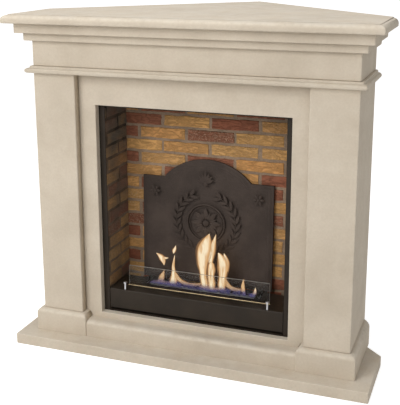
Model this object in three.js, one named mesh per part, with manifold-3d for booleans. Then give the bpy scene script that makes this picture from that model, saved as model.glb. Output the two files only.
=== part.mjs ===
// Corner fireplace with a spirit burner, in a cast-stone surround.
// Millimetres, +Z up. X runs along the front, Y goes back into the room corner.
// The pieces are drawn with y = 0 at the hearth's front edge, and the whole group is then
// moved forward, so that the origin lies on the floor at the middle of the plan.
// The walls of the room stand at 45 degrees to the front, so every piece that reaches
// back to them ends on a line where y + |x| is constant.

import * as THREE from 'three';
import * as BufferGeometryUtils from 'three/addons/utils/BufferGeometryUtils.js';
import Module from 'manifold-3d';

const wasm = await Module();
wasm.setup();

// ---------------------------------------------------------------- driving dimensions

const GAP = 0.3; // left between touching pieces
const ARRIS = 2.5; // rounding of the stone's top and bottom edges
const CORNER = 4; // rounding of its upright edges

// Depth of the room corner, measured from the hearth's front edge.
const WALL_DEPTH = 872;
const SKIRTING_DEPTH = 850; // the hearth and the cornice tiers stop short of the wall

const HEARTH_HALF = 600;
const HEARTH_THICKNESS = 36;

// Pilasters: two L-shaped castings, a front face with a side return.
const PILASTER_HALF = 529;
const PILASTER_INNER = 382;
const PILASTER_FRONT = 77;

// Plinth under the pilasters, and the lower rail between them.
const PLINTH_TOP = 113;
const PLINTH_STEP = 20;
const OVOLO_HEIGHT = 14;
const OVOLO_STEPS = 6;
const RAIL_FRONT = 61;
const RAIL_TOP = 93;
const RAIL_OVOLO = 20;

// Flat frame round the fire opening.
const FRAME_FRONT = 107;
const FRAME_THICKNESS = 26;
const FRAME_HALF = 498.7;
const OPENING_HALF = 325;
const OPENING_BOTTOM = 111;
const OPENING_TOP = 827;

// Mouldings and mantel shelf.
const ASTRAGAL_BOTTOM = 928;
const ASTRAGAL_TOP = 950;
const ASTRAGAL_PROJECTION = 22;
const ASTRAGAL_NOSE = 7.5;
const ASTRAGAL_FILLET = 9;
const ASTRAGAL_LEDGE_FALL = 0.6;
const CORNICE_BOTTOM = 1032;
const CORNICE_SPLIT = 1057;
const CORNICE_TOP = 1089;
const LOWER_TIER_STEP = 20;
const UPPER_TIER_STEP = 41;
const SHELF_STEP = 71;
const SHELF_TOP = 1117;
const SHELF_NOSE = 16;
const SHELF_SOFTENING = 5;
const SHELF_FILLET = 2;
const SHELF_LEDGE_FALL = 0.4;

// Timber battens that carry the shelf along the walls.
const BATTEN_SIZE = 30;
const BATTEN_REAR = 20;

// Steel angles behind the stone.
const ANGLE_LEG = 40;
const ANGLE_THICKNESS = 4;
const ANGLE_HEIGHT = 60;
const ANGLE_LOW = 200;
const ANGLE_HIGH = 800;
const LUG_FOOT = 440;

// Firebox: a sheet steel box with lips that keep the brick panels in.
const SHELL_HALF = 323;
const SHELL_FRONT = 131;
const SHELL_REAR = 318;
const SHELL_BOTTOM = 113;
const SHELL_TOP = 822;
const SHELL_SHEET = 2.5;
const LIP_WIDTH = 18.5;
const FLANGE_WIDTH = 34; // turned outwards behind the stone frame, to close the joint round the opening

const FOOT_RADIUS = 20;
const FOOT_STUD = 5;
const FOOT_NUT = 9;
const FOOT_NUT_HEIGHT = 8;
const FOOT_NUT_SIDES = 6;
const FOOT_NUT_DROP = 6; // from the shell's underside to the nut
const FOOT_DISC_EDGE = 3;
const FOOT_DISC_TOP = 9;
const FOOT_COLLAR = 2;
const FOOT_X = 255;
const FOOT_Y_FRONT = 165;
const FOOT_Y_REAR = 285;

// Moulded brick panels.
const BRICK_LENGTH = 162;
const BRICK_JOINT = 10;
const COURSE_HEIGHT = 45;
const COURSE_JOINT = 9;
const BRICK_RELIEF = 3;
const BRICK_WORN_EDGE = 1.6;
const BRICK_CORNER = 3.5;
const BRICK_ROOT = 2; // how far a brick reaches into the mortar bed
const BRICK_UNEVENNESS = 1.5;
const PANEL_THICKNESS = 15.5;
const PANEL_BOTTOM = 116;
const PANEL_TOP = 819;
const SIDE_PANEL_FACE = 304.5;
const SIDE_BOND_SHARE = 0.4; // where the side panels' bond starts, as a share of their depth
const SIDE_PANEL_FRONT = 134;
const BACK_PANEL_FACE = 300;

// Cast plate that leans on the back panel.
const PLATE_HALF = 233;
const PLATE_SHOULDER = 366;
const PLATE_HEIGHT = 436;
const PLATE_ARCH_HALF = 155;
const PLATE_THICKNESS = 8;
const PLATE_RIM = 9;
const PLATE_RIM_RELIEF = 2.5;
const PLATE_BAND_INSET = 15;
const PLATE_BAND = 3;
const PLATE_BAND_RELIEF = 1.2;
const PLATE_LEAN = THREE.MathUtils.degToRad(1.55);
const PLATE_BACK_Y = 286.5;
const PLATE_OFFSET_X = -8;
const LEDGE_X = 165;
const LEDGE_WIDTH = 40;
const LEDGE_SHEET = 3;
const LEDGE_DROP = 42;
const LEDGE_CLEARANCE = 2; // from the housing's rear flange

// Burner housing, tank and shutter.
const DECK_TOP = 192;
const DECK_SHEET = 2.5;
const DECK_BEND = 4; // outer radius of the housing's folds
const BEND_STEPS = 4;
const DECK_HALF = 302.5;
const DECK_REAR = 268;
const FASCIA_BOTTOM = 124;
const HOUSING_BOTTOM = 116;
const FLANGE_HEEL = 139; // where the side flanges start to rise to the fascia's lower edge
const TANK_HALF = 216;
const TANK_FRONT = 196;
const TANK_REAR = 262;
const TANK_BOTTOM = 130;
const TANK_SHEET = 1.5;
const TANK_CLEARANCE = 0.8;
const SLIDE_LEDGE_TOP = 187.7;
const SLIDE_LEDGE_WIDTH = 9;
const SLIDE_LEDGE_SHEET = 2;
const LID_HALF = 227;
const LID_FRONT = 188;
const LID_REAR = 267.5;
const LID_SHEET = 2;
const LID_CORNER = 8;
const SLOT_HALF = 186;
const SLOT_FRONT = 202;
const SLOT_REAR = 228;
const KNOB_X = 200;
const KNOB_SLOT_HALF = 3;
const KNOB_SLOT_FRONT = 211;
const KNOB_SLOT_REAR = 248.5;
const SHUTTER_HALF = 208;
const SHUTTER_FRONT = 229.5;
const SHUTTER_REAR = 259.5;
const SHUTTER_THICKNESS = 2;
const SHUTTER_CORNER = 4;
const KNOB_Y = 245;
const KNOB_RADIUS = 6.4;
const KNOB_STEM = 2.2;
const KNOB_FOOT = 199;
const KNOB_TOP = 207.5;
const KNOB_FOOT_BEVEL = 1.4;
const KNOB_TOP_BEVEL = 1;
const WADDING_TOP = 181;
const WADDING_END = 16; // from the tank's ends
const WADDING_SIDE = 3;
const CLEARLY_PAST = 10; // how far a cutting tool runs beyond what it cuts

// Low glass screen and the two T-headed pins on the housing's front edge.
const GLASS_HALF = 248;
const GLASS_Y = 170;
const GLASS_THICKNESS = 5;
const GLASS_HEIGHT = 74;
const GLASS_ARRIS = 0.8;
const GLASS_CORNER = 3;
const CHANNEL_HALF = 250;
const CHANNEL_WIDTH = 10;
const CHANNEL_HEIGHT = 7;
const CHANNEL_WALL = 1.5;
const PIN_X = 249;
const PIN_Y = 138;
const PIN_HEIGHT = 27;
const PIN_STEM = 3.6;
const PIN_HEAD = 6.2;
const PIN_HEAD_HEIGHT = 5;
const PIN_BEVEL = 0.8;

// ---------------------------------------------------------------- materials

const finish = (color, roughness, metalness = 0) =>
  new THREE.MeshStandardMaterial({ color, roughness, metalness });

const STONE = finish(0xcdc0ac, 0.8);
const TIMBER = finish(0xb89464, 0.75);
const ZINC = finish(0x9a9c9e, 0.45, 0.9);
const BLACK_STEEL = finish(0x17171a, 0.55, 0.4);
const BRICK = finish(0xb08046, 0.92);
const IRON = finish(0x24252a, 0.6, 0.5);
const STAINLESS = finish(0xb9bbbd, 0.3, 1);
const FIBRE = finish(0xece8df, 0.98);
const GLASS = finish(0xdfe9ea, 0.05);

const root = new THREE.Group();
root.position.y = -WALL_DEPTH / 2;

function add(name, geometry, material) {
  const mesh = new THREE.Mesh(geometry, material);
  mesh.name = name;
  root.add(mesh);
  return mesh;
}

// ---------------------------------------------------------------- geometry helpers

function bare(geometry) {
  const copy = geometry.clone();
  copy.deleteAttribute('normal');
  copy.deleteAttribute('uv');
  return BufferGeometryUtils.mergeVertices(copy, 1e-4);
}

function toSolid(geometry) {
  const merged = bare(geometry);
  return new wasm.Manifold(new wasm.Mesh({
    numProp: 3,
    vertProperties: Float32Array.from(merged.attributes.position.array),
    triVerts: Uint32Array.from(merged.index.array),
  }));
}

function toGeometry(solid) {
  const mesh = solid.getMesh();
  const geometry = new THREE.BufferGeometry();
  const points = new Float32Array((mesh.vertProperties.length / mesh.numProp) * 3);
  for (let i = 0; i < points.length / 3; i += 1) {
    for (let k = 0; k < 3; k += 1) {
      points[3 * i + k] = mesh.vertProperties[i * mesh.numProp + k];
    }
  }
  geometry.setAttribute('position', new THREE.BufferAttribute(points, 3));
  geometry.setIndex(Array.from(mesh.triVerts));
  return geometry;
}

const join = (geometries) =>
  toGeometry(geometries.map(toSolid).reduce((sum, solid) => sum.add(solid)));

const cut = (geometry, tools) =>
  toGeometry(tools.map(toSolid).reduce((rest, tool) => rest.subtract(tool), toSolid(geometry)));

// A box between two corners.
function box(x0, y0, z0, x1, y1, z1) {
  const geometry = new THREE.BoxGeometry(x1 - x0, y1 - y0, z1 - z0);
  return geometry.translate((x0 + x1) / 2, (y0 + y1) / 2, (z0 + z1) / 2);
}

const toShape = (points) => new THREE.Shape(points.map(([x, y]) => new THREE.Vector2(x, y)));

// Extrusion from z = 0 to the given depth, with the edges of both ends rounded by arris.
function extrude(shape, depth, arris = 0, curveSegments = 20) {
  const geometry = new THREE.ExtrudeGeometry(shape, {
    depth: depth - 2 * arris,
    bevelEnabled: arris > 0,
    bevelThickness: arris,
    bevelSize: arris,
    bevelOffset: -arris,
    bevelSegments: 2,
    curveSegments,
  });
  return geometry.translate(0, 0, arris);
}

// A plan outline raised from z0 to z1.
const prism = (plan, z0, z1, arris = 0) =>
  extrude(toShape(plan), z1 - z0, arris).translate(0, 0, z0);

// An outline drawn in x and z, given a thickness from y0 back to y1.
const slab = (shape, y0, y1, arris = 0) =>
  extrude(shape, y1 - y0, arris).rotateX(Math.PI / 2).translate(0, y1, 0);

// A section drawn in y and z, run along x from x0 to x1.
function run(section, x0, x1) {
  const geometry = extrude(toShape(section), x1 - x0);
  geometry.applyMatrix4(new THREE.Matrix4().makeBasis(
    new THREE.Vector3(0, 1, 0),
    new THREE.Vector3(0, 0, 1),
    new THREE.Vector3(1, 0, 0),
  ));
  return geometry.translate(x0, 0, 0);
}

// A solid through a stack of rings that all have the same number of plan points.
function loft(levels) {
  const count = levels[0].plan.length;
  const points = levels.flatMap(({ plan, z }) => plan.map(([x, y]) => [x, y, z]));
  const faces = [];
  for (let level = 0; level < levels.length - 1; level += 1) {
    for (let i = 0; i < count; i += 1) {
      const a = level * count + i;
      const b = level * count + ((i + 1) % count);
      faces.push(a, b, b + count, a, b + count, a + count);
    }
  }
  const flat = levels[0].plan.map(([x, y]) => new THREE.Vector2(x, y));
  const top = (levels.length - 1) * count;
  for (const [a, b, c] of THREE.ShapeUtils.triangulateShape(flat, [])) {
    faces.push(a, c, b, top + a, top + b, top + c);
  }
  const geometry = new THREE.BufferGeometry();
  geometry.setAttribute('position', new THREE.Float32BufferAttribute(points.flat(), 3));
  geometry.setIndex(faces);
  return geometry;
}

function lathe(profile, segments = 24) {
  const geometry = new THREE.LatheGeometry(
    profile.map(([r, z]) => new THREE.Vector2(r, z)),
    segments,
  );
  return geometry.rotateX(Math.PI / 2);
}

const mirrored = (geometry) => {
  const copy = bare(geometry);
  copy.scale(-1, 1, 1);
  const { array } = copy.index;
  for (let i = 0; i < array.length; i += 3) {
    [array[i + 1], array[i + 2]] = [array[i + 2], array[i + 1]];
  }
  return copy;
};

function addPair(name, geometry, material) {
  add(`${name}_left`, mirrored(geometry), material);
  add(`${name}_right`, geometry, material);
}

// ---------------------------------------------------------------- plan outlines

// A square corner of a plan, rounded. toX and toY are the directions of its two sides.
function roundedCorner(x, y, toX, toY, radius = CORNER) {
  const steps = 3;
  return Array.from({ length: steps + 1 }, (_, i) => {
    const angle = (i / steps) * (Math.PI / 2);
    return [
      x + toX * radius * (1 - Math.sin(angle)),
      y + toY * radius * (1 - Math.cos(angle)),
    ];
  });
}

// The two front corners of a plan, in the order of an anticlockwise outline.
const frontCorners = (left, right, front) => [
  ...roundedCorner(left, front, 1, 1).reverse(),
  ...roundedCorner(right, front, -1, 1),
];

// A plate with four rounded corners.
const roundedPlate = (half, front, rear, radius) => [
  ...roundedCorner(-half, front, 1, 1, radius).reverse(),
  ...roundedCorner(half, front, -1, 1, radius),
  ...roundedCorner(half, rear, -1, -1, radius).reverse(),
  ...roundedCorner(-half, rear, 1, -1, radius),
];

// Pentagon in the room corner: front edge, two square returns and two edges on the walls.
const cornerPlan = (half, front, depth) => [
  ...frontCorners(-half, half, front),
  [half, depth - half],
  [0, depth],
  [-half, depth - half],
];

// U in plan: a front with a return at each side, cut at 45 degrees where it meets the walls.
const wrapPlan = (grow, depth = WALL_DEPTH) => {
  const outer = PILASTER_HALF + grow;
  const front = PILASTER_FRONT - grow;
  const inner = FRAME_HALF + GAP;
  return [
    ...frontCorners(-outer, outer, front),
    [outer, depth - outer],
    [inner, depth - inner],
    [inner, FRAME_FRONT - GAP],
    [-inner, FRAME_FRONT - GAP],
    [-inner, depth - inner],
    [-outer, depth - outer],
  ];
};

// L in plan, for the right-hand pilaster and its plinth.
const pilasterPlan = (grow) => {
  const outer = PILASTER_HALF + grow;
  const inner = FRAME_HALF + GAP;
  return [
    ...frontCorners(PILASTER_INNER - grow, outer, PILASTER_FRONT - grow),
    [outer, WALL_DEPTH - outer],
    [inner, WALL_DEPTH - inner],
    [inner, FRAME_FRONT - GAP],
    [PILASTER_INNER - grow, FRAME_FRONT - GAP],
  ];
};

// Quarter ellipse from a vertical face (grow = width) up to a flat ledge (grow = 0).
function ovolo(width, height, steps) {
  return Array.from({ length: steps + 1 }, (_, i) => {
    const angle = (i / steps) * (Math.PI / 2);
    return { grow: width * Math.cos(angle), rise: height * Math.sin(angle) };
  });
}

// ---------------------------------------------------------------- stone surround

function buildHearth() {
  const plan = cornerPlan(HEARTH_HALF, 0, SKIRTING_DEPTH);
  add('hearth_slab', prism(plan, 0, HEARTH_THICKNESS, ARRIS), STONE);
}

function buildPlinth() {
  const foot = HEARTH_THICKNESS + GAP;
  const spring = PLINTH_TOP - OVOLO_HEIGHT;
  const levels = [{ plan: pilasterPlan(PLINTH_STEP), z: foot }];
  for (const { grow, rise } of ovolo(PLINTH_STEP, OVOLO_HEIGHT, OVOLO_STEPS)) {
    levels.push({ plan: pilasterPlan(grow), z: spring + rise });
  }
  addPair('plinth_block', loft(levels), STONE);

  const nose = ovolo(RAIL_OVOLO, OVOLO_HEIGHT, OVOLO_STEPS).map(({ grow, rise }) =>
    [RAIL_FRONT + RAIL_OVOLO - grow, RAIL_TOP - OVOLO_HEIGHT + rise]);
  const section = [
    [RAIL_FRONT, foot],
    [FRAME_FRONT - GAP, foot],
    [FRAME_FRONT - GAP, RAIL_TOP],
    ...nose.reverse(),
  ];
  const reach = PILASTER_INNER - PLINTH_STEP - GAP;
  add('plinth_rail', run(section, -reach, reach), STONE);
}

function buildPilasters() {
  const plan = pilasterPlan(0);
  addPair('pilaster', prism(plan, PLINTH_TOP + GAP, ASTRAGAL_BOTTOM - GAP, ARRIS), STONE);
}

function buildFrame() {
  const foot = HEARTH_THICKNESS + GAP;
  const head = CORNICE_BOTTOM - GAP;
  const shape = toShape([[-FRAME_HALF, foot], [FRAME_HALF, foot], [FRAME_HALF, head], [-FRAME_HALF, head]]);
  shape.holes.push(toShape([
    [-OPENING_HALF, OPENING_BOTTOM],
    [-OPENING_HALF, OPENING_TOP],
    [OPENING_HALF, OPENING_TOP],
    [OPENING_HALF, OPENING_BOTTOM],
  ]));
  add('frame_panel', slab(shape, FRAME_FRONT, FRAME_FRONT + FRAME_THICKNESS, ARRIS), STONE);
}

// String moulding: a round nose below, a small fillet above.
function buildAstragal() {
  const neck = ASTRAGAL_PROJECTION - ASTRAGAL_NOSE;
  const noseSteps = 10;
  const levels = [];
  for (let i = 0; i <= noseSteps; i += 1) {
    const angle = -Math.PI / 2 + (i / noseSteps) * Math.PI;
    levels.push({
      plan: wrapPlan(neck + ASTRAGAL_NOSE * Math.cos(angle)),
      z: ASTRAGAL_BOTTOM + ASTRAGAL_NOSE * (1 + Math.sin(angle)),
    });
  }
  const shoulder = ASTRAGAL_BOTTOM + 2 * ASTRAGAL_NOSE;
  levels.push({ plan: wrapPlan(ASTRAGAL_FILLET), z: shoulder + ASTRAGAL_LEDGE_FALL });
  for (const { grow, rise } of ovolo(ARRIS, ARRIS, 3)) {
    levels.push({ plan: wrapPlan(ASTRAGAL_FILLET - ARRIS + grow), z: ASTRAGAL_TOP - ARRIS + rise });
  }
  add('astragal_moulding', loft(levels), STONE);
}

function buildFrieze() {
  add('frieze_box', prism(wrapPlan(0), ASTRAGAL_TOP + GAP, CORNICE_BOTTOM - GAP, ARRIS), STONE);
}

function buildCornice() {
  const lower = wrapPlan(LOWER_TIER_STEP, SKIRTING_DEPTH);
  add('cornice_lower_tier', prism(lower, CORNICE_BOTTOM, CORNICE_SPLIT - GAP, ARRIS), STONE);
  const upper = wrapPlan(UPPER_TIER_STEP, SKIRTING_DEPTH);
  add('cornice_upper_tier', prism(upper, CORNICE_SPLIT, CORNICE_TOP - GAP, ARRIS), STONE);
}

// Mantel shelf: softened lower arris, tall rounded nose, small fillet under the flat top.
function buildShelf() {
  const level = (inset, z) => ({
    plan: cornerPlan(PILASTER_HALF + SHELF_STEP - inset, PILASTER_FRONT - SHELF_STEP + inset, WALL_DEPTH),
    z,
  });
  const soft = SHELF_SOFTENING;
  const noseTop = SHELF_TOP - SHELF_FILLET - SHELF_LEDGE_FALL;
  const noseFoot = CORNICE_TOP + 2 * soft;
  const lower = ovolo(soft, soft, 4).reverse();
  const upper = ovolo(SHELF_NOSE, noseTop - noseFoot, 10);
  const fillet = SHELF_NOSE + SHELF_FILLET;
  add('mantel_shelf', loft([
    ...lower.map(({ grow, rise }) => level(soft - grow, CORNICE_TOP + soft - rise)),
    ...upper.map(({ grow, rise }) => level(SHELF_NOSE - grow, noseFoot + rise)),
    level(fillet, SHELF_TOP - SHELF_FILLET),
    level(fillet, SHELF_TOP),
  ]), STONE);
}

function buildBattens() {
  const inner = FRAME_HALF;
  const depth = WALL_DEPTH - BATTEN_SIZE * Math.SQRT2;
  const plan = [
    [inner, depth - inner],
    [inner, WALL_DEPTH - inner],
    [BATTEN_REAR, WALL_DEPTH - BATTEN_REAR],
    [BATTEN_REAR, depth - BATTEN_REAR],
  ];
  addPair('shelf_batten', prism(plan, CORNICE_TOP - GAP - BATTEN_SIZE, CORNICE_TOP - GAP), TIMBER);
}

// ---------------------------------------------------------------- hidden steelwork

// Angle in the corner between the frame's back and a wall face that looks towards -X.
function cornerAngle(x, z) {
  const back = FRAME_FRONT + FRAME_THICKNESS + GAP;
  const plan = [
    [x - ANGLE_LEG, back],
    [x, back],
    [x, back + ANGLE_LEG],
    [x - ANGLE_THICKNESS, back + ANGLE_LEG],
    [x - ANGLE_THICKNESS, back + ANGLE_THICKNESS],
    [x - ANGLE_LEG, back + ANGLE_THICKNESS],
  ];
  return prism(plan, z, z + ANGLE_HEIGHT);
}

function buildAngles() {
  const x = FRAME_HALF;
  addPair('corner_angle_low', cornerAngle(x, ANGLE_LOW), ZINC);
  addPair('corner_angle_high', cornerAngle(x, ANGLE_HIGH), ZINC);
}

// ---------------------------------------------------------------- firebox

// The sheet that the shell turns outwards all round, behind the stone frame.
function shellFlange() {
  const back = FRAME_FRONT + FRAME_THICKNESS + GAP;
  const outline = (grow) => [
    [-SHELL_HALF - grow, SHELL_BOTTOM - grow],
    [SHELL_HALF + grow, SHELL_BOTTOM - grow],
    [SHELL_HALF + grow, SHELL_TOP + grow],
    [-SHELL_HALF - grow, SHELL_TOP + grow],
  ];
  const shape = toShape(outline(FLANGE_WIDTH));
  shape.holes.push(toShape(outline(-SHELL_SHEET / 2)));
  return slab(shape, back, back + SHELL_SHEET);
}

function buildShell() {
  const outer = box(-SHELL_HALF, SHELL_FRONT, SHELL_BOTTOM, SHELL_HALF, SHELL_REAR, SHELL_TOP);
  const side = SHELL_HALF - SHELL_SHEET;
  const cavity = box(
    -side,
    SHELL_FRONT - CLEARLY_PAST,
    SHELL_BOTTOM + SHELL_SHEET,
    side,
    SHELL_REAR - SHELL_SHEET,
    SHELL_TOP - SHELL_SHEET,
  );
  const lipInner = SHELL_HALF - LIP_WIDTH;
  const lips = [-1, 1].map((s) => box(
    Math.min(s * lipInner, s * SHELL_HALF),
    SHELL_FRONT,
    SHELL_BOTTOM,
    Math.max(s * lipInner, s * SHELL_HALF),
    SHELL_FRONT + SHELL_SHEET,
    SHELL_TOP,
  ));
  add('firebox_shell', join([cut(outer, [cavity]), shellFlange(), ...lips]), BLACK_STEEL);

  // Lugs that clamp the shell's flange against the back of the stone frame.
  const back = FRAME_FRONT + FRAME_THICKNESS + SHELL_SHEET + 2 * GAP;
  const x = SHELL_HALF + GAP;
  const plan = [
    [x, back],
    [x + ANGLE_LEG, back],
    [x + ANGLE_LEG, back + SHELL_SHEET],
    [x + SHELL_SHEET, back + SHELL_SHEET],
    [x + SHELL_SHEET, back + ANGLE_LEG],
    [x, back + ANGLE_LEG],
  ];
  addPair('shell_lug', prism(plan, LUG_FOOT, LUG_FOOT + ANGLE_HEIGHT), ZINC);
}

// Levelling foot: a domed disc on a stud, with a hexagon nut.
function buildFeet() {
  const foot = HEARTH_THICKNESS + GAP;
  const head = SHELL_BOTTOM - GAP;
  const nutFoot = head - FOOT_NUT_HEIGHT - FOOT_NUT_DROP;
  const disc = lathe([
    [0, foot],
    [FOOT_RADIUS, foot],
    [FOOT_RADIUS, foot + FOOT_DISC_EDGE],
    [FOOT_STUD + FOOT_COLLAR, foot + FOOT_DISC_TOP],
    [FOOT_STUD, foot + FOOT_DISC_TOP],
    [FOOT_STUD, head],
    [0, head],
  ]);
  const nut = lathe([
    [0, nutFoot],
    [FOOT_NUT, nutFoot],
    [FOOT_NUT, nutFoot + FOOT_NUT_HEIGHT],
    [0, nutFoot + FOOT_NUT_HEIGHT],
  ], FOOT_NUT_SIDES);
  const whole = join([disc, nut]);
  let number = 1;
  for (const x of [-FOOT_X, FOOT_X]) {
    for (const y of [FOOT_Y_FRONT, FOOT_Y_REAR]) {
      add(`firebox_foot_${number}`, whole.clone().translate(x, y, 0), ZINC);
      number += 1;
    }
  }
}

// A number between -1 and 1 that looks random but is the same for every build.
const uneven = (seed) => 2 * (Math.abs(Math.sin(seed * 12.9898) * 4375.8545) % 1) - 1;

// One brick's face, its edges worn back, and its root in the mortar bed.
function brickFace(x0, x1, z0, z1, faceY) {
  const w = BRICK_WORN_EDGE;
  const c = BRICK_CORNER;
  const ring = (inset) => [
    [x0 + c, z0 + inset],
    [x1 - c, z0 + inset],
    [x1 - inset, z0 + c],
    [x1 - inset, z1 - c],
    [x1 - c, z1 - inset],
    [x0 + c, z1 - inset],
    [x0 + inset, z1 - c],
    [x0 + inset, z0 + c],
  ];
  const levels = [
    { plan: ring(0), z: -faceY - BRICK_RELIEF - BRICK_ROOT },
    { plan: ring(0), z: -faceY - w },
    { plan: ring(w), z: -faceY },
  ];
  return loft(levels).rotateX(Math.PI / 2);
}

// Brick faces standing out of a mortar bed, drawn on a wall that faces -Y.
// The bond starts at the middle of the wall, and each course moves by half a brick.
function brickWall(x0, x1, faceY, bondCentre) {
  const pitch = BRICK_LENGTH + BRICK_JOINT;
  const parts = [box(x0, faceY + BRICK_RELIEF, PANEL_BOTTOM, x1, faceY + PANEL_THICKNESS, PANEL_TOP)];
  const courses = Math.ceil((PANEL_TOP - PANEL_BOTTOM) / COURSE_HEIGHT);
  for (let course = 0; course < courses; course += 1) {
    const z0 = PANEL_TOP - (course + 1) * COURSE_HEIGHT + COURSE_JOINT / 2;
    const z1 = PANEL_TOP - course * COURSE_HEIGHT - COURSE_JOINT / 2;
    const shift = bondCentre + (course % 2) * (pitch / 2);
    const first = Math.floor((x0 - shift) / pitch) - 1;
    const last = Math.ceil((x1 - shift) / pitch) + 1;
    for (let k = first; k <= last; k += 1) {
      const number = course * 17 + k;
      const slip = BRICK_UNEVENNESS * uneven(number);
      const left = Math.max(x0, shift + k * pitch - BRICK_LENGTH / 2 + slip);
      const right = Math.min(x1, shift + k * pitch + BRICK_LENGTH / 2 + slip);
      const bottom = Math.max(PANEL_BOTTOM, z0);
      const sunk = BRICK_UNEVENNESS * Math.abs(uneven(number + 0.5)) / 2;
      if (right - left > BRICK_JOINT && z1 - bottom > COURSE_JOINT) {
        parts.push(brickFace(left, right, bottom, z1, faceY + sunk));
      }
    }
  }
  return join(parts);
}

function buildBrickPanels() {
  const half = SHELL_HALF - SHELL_SHEET - GAP;
  add('brick_panel_back', brickWall(-half, half, BACK_PANEL_FACE, 0), BRICK);
  const depth = BACK_PANEL_FACE - GAP - SIDE_PANEL_FRONT;
  const side = brickWall(0, depth, SIDE_PANEL_FACE, depth * SIDE_BOND_SHARE);
  side.rotateZ(-Math.PI / 2);
  side.translate(0, SIDE_PANEL_FRONT + depth, 0);
  addPair('brick_panel', side, BRICK);
}

// ---------------------------------------------------------------- cast plate

function plateOutline(inset) {
  const half = PLATE_HALF - inset;
  const shoulder = PLATE_SHOULDER - inset;
  const rise = PLATE_HEIGHT - PLATE_SHOULDER;
  const radius = (PLATE_ARCH_HALF ** 2 + rise ** 2) / (2 * rise);
  const centre = PLATE_HEIGHT - radius;
  const innerRadius = radius - inset;
  const drop = shoulder - centre;
  const archHalf = Math.sqrt(innerRadius ** 2 - drop ** 2);
  const start = Math.atan2(drop, archHalf);
  const shape = new THREE.Shape();
  shape.moveTo(-half, inset);
  shape.lineTo(half, inset);
  shape.lineTo(half, shoulder);
  shape.lineTo(archHalf, shoulder);
  shape.absarc(0, centre, innerRadius, start, Math.PI - start, false);
  shape.lineTo(-half, shoulder);
  shape.closePath();
  return shape;
}

// A raised band that follows the plate's outline between two insets.
function plateBand(from, to, relief) {
  const shape = plateOutline(from);
  shape.holes.push(plateOutline(to));
  return slab(shape, -PLATE_THICKNESS - relief, -PLATE_THICKNESS / 2);
}

function buildFireback() {
  const plate = slab(plateOutline(0), -PLATE_THICKNESS, 0);
  const rim = plateBand(0, PLATE_RIM, PLATE_RIM_RELIEF);
  const band = plateBand(PLATE_BAND_INSET, PLATE_BAND_INSET + PLATE_BAND, PLATE_BAND_RELIEF);
  const mesh = add('fireback', join([plate, rim, band]), IRON);
  mesh.rotation.x = -PLATE_LEAN;
  mesh.position.set(PLATE_OFFSET_X, PLATE_BACK_Y, DECK_TOP + GAP);
  buildLedges();
}

// Two steel ledges on the back panel carry the plate behind the burner housing.
function buildLedges() {
  const ledgeFront = DECK_REAR + LEDGE_CLEARANCE;
  const wall = BACK_PANEL_FACE - GAP;
  const section = [
    [ledgeFront, DECK_TOP - LEDGE_SHEET],
    [wall - LEDGE_SHEET, DECK_TOP - LEDGE_SHEET],
    [wall - LEDGE_SHEET, DECK_TOP - LEDGE_DROP],
    [wall, DECK_TOP - LEDGE_DROP],
    [wall, DECK_TOP - GAP],
    [ledgeFront, DECK_TOP - GAP],
  ];
  addPair('fireback_ledge', run(section, LEDGE_X, LEDGE_X + LEDGE_WIDTH), BLACK_STEEL);
}

// ---------------------------------------------------------------- burner

// The two bends of a sheet that goes up, over and down again, as points in y and z.
function bentOutline(front, rear, top, radius) {
  const bend = (centre, from) => Array.from({ length: BEND_STEPS + 1 }, (_, i) => {
    const angle = from - (i / BEND_STEPS) * (Math.PI / 2);
    return [centre + radius * Math.cos(angle), top - radius + radius * Math.sin(angle)];
  });
  return [...bend(front + radius, Math.PI), ...bend(rear - radius, Math.PI / 2)];
}

function buildHousing() {
  const s = DECK_SHEET;
  // Fascia, deck and rear flange are one sheet, bent twice.
  const outer = bentOutline(SHELL_FRONT, DECK_REAR, DECK_TOP, DECK_BEND);
  const inner = bentOutline(SHELL_FRONT + s, DECK_REAR - s, DECK_TOP - s, DECK_BEND - s);
  const sheet = run([
    [SHELL_FRONT, FASCIA_BOTTOM],
    ...outer,
    [DECK_REAR, HOUSING_BOTTOM],
    [DECK_REAR - s, HOUSING_BOTTOM],
    ...inner.reverse(),
    [SHELL_FRONT + s, FASCIA_BOTTOM],
  ], -DECK_HALF, DECK_HALF);
  const flange = [
    [SHELL_FRONT, FASCIA_BOTTOM],
    ...outer,
    [DECK_REAR, HOUSING_BOTTOM],
    [FLANGE_HEEL, HOUSING_BOTTOM],
  ];
  const right = run(flange, DECK_HALF - s, DECK_HALF);
  const left = run(flange, -DECK_HALF, -DECK_HALF + s);
  const c = TANK_CLEARANCE;
  const hole = box(
    -TANK_HALF - c,
    TANK_FRONT - c,
    DECK_TOP - CLEARLY_PAST,
    TANK_HALF + c,
    TANK_REAR + c,
    DECK_TOP + CLEARLY_PAST,
  );
  add('burner_housing', cut(join([sheet, right, left]), [hole]), BLACK_STEEL);

  const pinFoot = DECK_TOP + GAP;
  const pinTop = DECK_TOP + PIN_HEIGHT;
  const headFoot = pinTop - PIN_HEAD_HEIGHT;
  const pin = lathe([
    [0, pinFoot],
    [PIN_STEM, pinFoot],
    [PIN_STEM, headFoot],
    [PIN_HEAD - PIN_BEVEL, headFoot],
    [PIN_HEAD, headFoot + PIN_BEVEL],
    [PIN_HEAD, pinTop - PIN_BEVEL],
    [PIN_HEAD - PIN_BEVEL, pinTop],
    [0, pinTop],
  ]);
  addPair('lift_pin', pin.translate(PIN_X, PIN_Y, 0), STAINLESS);
}

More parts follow.
